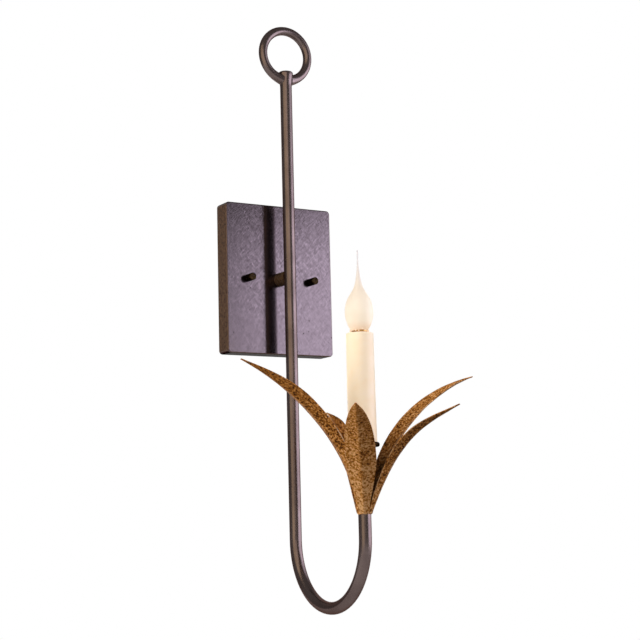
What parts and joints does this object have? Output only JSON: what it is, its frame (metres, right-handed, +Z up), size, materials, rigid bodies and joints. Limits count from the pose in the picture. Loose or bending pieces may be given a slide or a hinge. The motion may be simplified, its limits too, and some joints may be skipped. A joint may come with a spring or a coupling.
{
  "type": "wall sconce",
  "caption": "Wall sconce: a tube arm with a ring at its top and a U bend stands off a shallow backplate and carries a leaf crown, a candle sleeve and a flame bulb.",
  "frame": {"origin": "on the wall, behind the centre of the backplate", "axes": "+X to the viewer's right along the wall, +Y into the wall, +Z up; the sconce stands in -Y"},
  "size_m": [0.2664, 0.2716, 0.628],
  "materials": {
    "dark_bronze": "satin dark bronze over sheet and tube",
    "leaf_bronze": "mottled antique gold-bronze",
    "candle_cream": "wax-look resin",
    "flame_silicone": "frosted silicone dip over the bulb",
    "glass": "clear",
    "tungsten": "fine wire",
    "brass": "plain",
    "black_insulator": "vitrified black",
    "solder": "soldered tin",
    "phenolic": "moulded phenolic",
    "zinc_steel": "zinc plated",
    "green_screw": "green dye on steel",
    "black_insulation": "wire insulation",
    "white_insulation": "wire insulation",
    "connector_orange": "moulded"
  },
  "bodies": {
    "sconce": {"backplate": "dark_bronze", "arm_tube": "dark_bronze", "arm_top_plug": "dark_bronze", "top_ring": "dark_bronze", "arm_boss": "dark_bronze", "candle_cup": "dark_bronze", "leaf_left": "leaf_bronze", "leaf_right": "leaf_bronze", "leaf_near_right": "leaf_bronze", "leaf_front": "leaf_bronze", "leaf_back_left": "leaf_bronze", "leaf_back_right": "leaf_bronze", "socket_shell": "brass", "socket_contact": "brass", "socket_body": "phenolic", "socket_bracket": "zinc_steel", "socket_rivet": "zinc_steel", "candle_nipple": "zinc_steel", "boss_nipple": "zinc_steel", "boss_lock_washer": "zinc_steel", "boss_lock_nut": "brass", "mounting_bracket": "zinc_steel", "mounting_studs": "zinc_steel", "stud_lock_nuts": "zinc_steel", "ground_screw": "green_screw", "hot_lead": "black_insulation", "neutral_lead": "white_insulation", "wire_connectors": "connector_orange"},
    "left_nut": {"left_cap_nut": "dark_bronze"},
    "right_nut": {"right_cap_nut": "dark_bronze"},
    "sleeve": {"candle_sleeve": "candle_cream"},
    "bulb_foot": {"bulb_contact": "solder", "bulb_insulator": "black_insulator"},
    "bulb": {"bulb_base": "brass", "bulb_glass": "glass", "bulb_stem": "glass", "bulb_filament": "tungsten", "bulb_coat": "flame_silicone"}
  },
  "joints": [
    {"name": "left_nut_turn", "type": "hinge", "parent": "sconce", "child": "left_nut", "pos_m": [-0.0381, -0.026, 0], "axis": [0, -1, 0], "continuous": true},
    {"name": "right_nut_turn", "type": "hinge", "parent": "sconce", "child": "right_nut", "pos_m": [0.0381, -0.026, 0], "axis": [0, -1, 0], "continuous": true},
    {"name": "sleeve_lift", "type": "slide", "parent": "sconce", "child": "sleeve", "axis": [0, 0, 1], "range_m": [0, 0.005]},
    {"name": "bulb_rise", "type": "slide", "parent": "sconce", "child": "bulb_foot", "axis": [0, 0, 1], "range_m": [0, 0.00953]},
    {"name": "bulb_turn", "type": "hinge", "parent": "bulb_foot", "child": "bulb", "pos_m": [0, -0.1802, -0.0757], "axis": [0, 0, 1], "range_deg": [0, 1350]}
  ],
  "couplings": [
    {"joint": "bulb_rise", "follows": "bulb_turn", "m_per_rad": 0.00040425}
  ]
}
